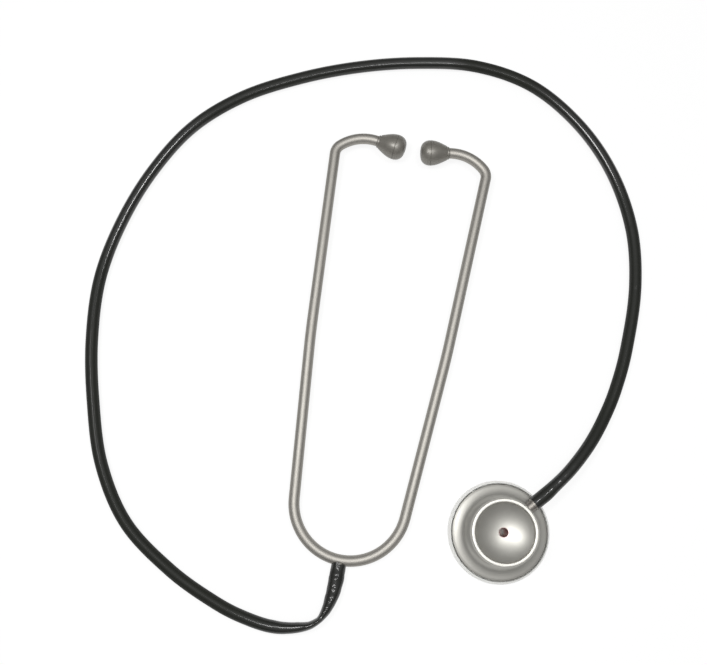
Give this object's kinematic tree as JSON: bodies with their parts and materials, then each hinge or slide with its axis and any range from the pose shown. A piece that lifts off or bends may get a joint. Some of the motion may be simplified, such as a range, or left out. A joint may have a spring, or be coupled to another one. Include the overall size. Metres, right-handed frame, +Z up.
{
  "type": "toy stethoscope",
  "caption": "Toy stethoscope lying flat: silver spring headset with ear tips, black hose, and a swivelling bell-and-diaphragm chest piece.",
  "frame": {"origin": "centre of the diaphragm's face under the chest piece, on the surface that the stethoscope lies on", "axes": "+Y along the headset's middle line from the hose nipple to the ear tips, +Z up out of the bell, +X to the right seen from above"},
  "size_m": [0.2444, 0.2721, 0.0208],
  "materials": {
    "frame_tube": "satin grey metal",
    "fitting": "satin silver metal",
    "ear_tip": "satin dark grey moulded plastic",
    "hose": "glossy black soft hose",
    "chest_silver": "silver lacquer on moulded plastic",
    "diaphragm": "smooth thin plastic disc"
  },
  "bodies": {
    "headset_base": {"spring_bow": "frame_tube", "hose_nipple": "fitting", "hose": "hose", "stem": "fitting"},
    "left_arm": {"left_ear_tube": "frame_tube", "left_ear_tip": "ear_tip"},
    "right_arm": {"right_ear_tube": "frame_tube", "right_ear_tip": "ear_tip"},
    "chest_head": {"diaphragm_housing": "chest_silver", "bell": "chest_silver", "diaphragm": "diaphragm", "retaining_ring": "chest_silver"}
  },
  "joints": [
    {"name": "left_ear_spread", "type": "hinge", "parent": "headset_base", "child": "left_arm", "pos_m": [-0.0923, 0.03054, 0.00365], "axis": [0, -0.0158, 0.9999], "range_deg": [-1.4, 20], "stiffness_Nm_per_rad": 0.5, "deforming": ["spring_bow"]},
    {"name": "right_ear_spread", "type": "hinge", "parent": "headset_base", "child": "right_arm", "pos_m": [-0.0381, 0.03054, 0.00365], "axis": [0, 0.0158, -0.9999], "range_deg": [-1.4, 20], "stiffness_Nm_per_rad": 0.5, "deforming": ["spring_bow"]},
    {"name": "chest_swivel", "type": "hinge", "parent": "headset_base", "child": "chest_head", "pos_m": [0, 0, 0.009], "axis": [0.6428, 0.766, 0], "continuous": true}
  ]
}
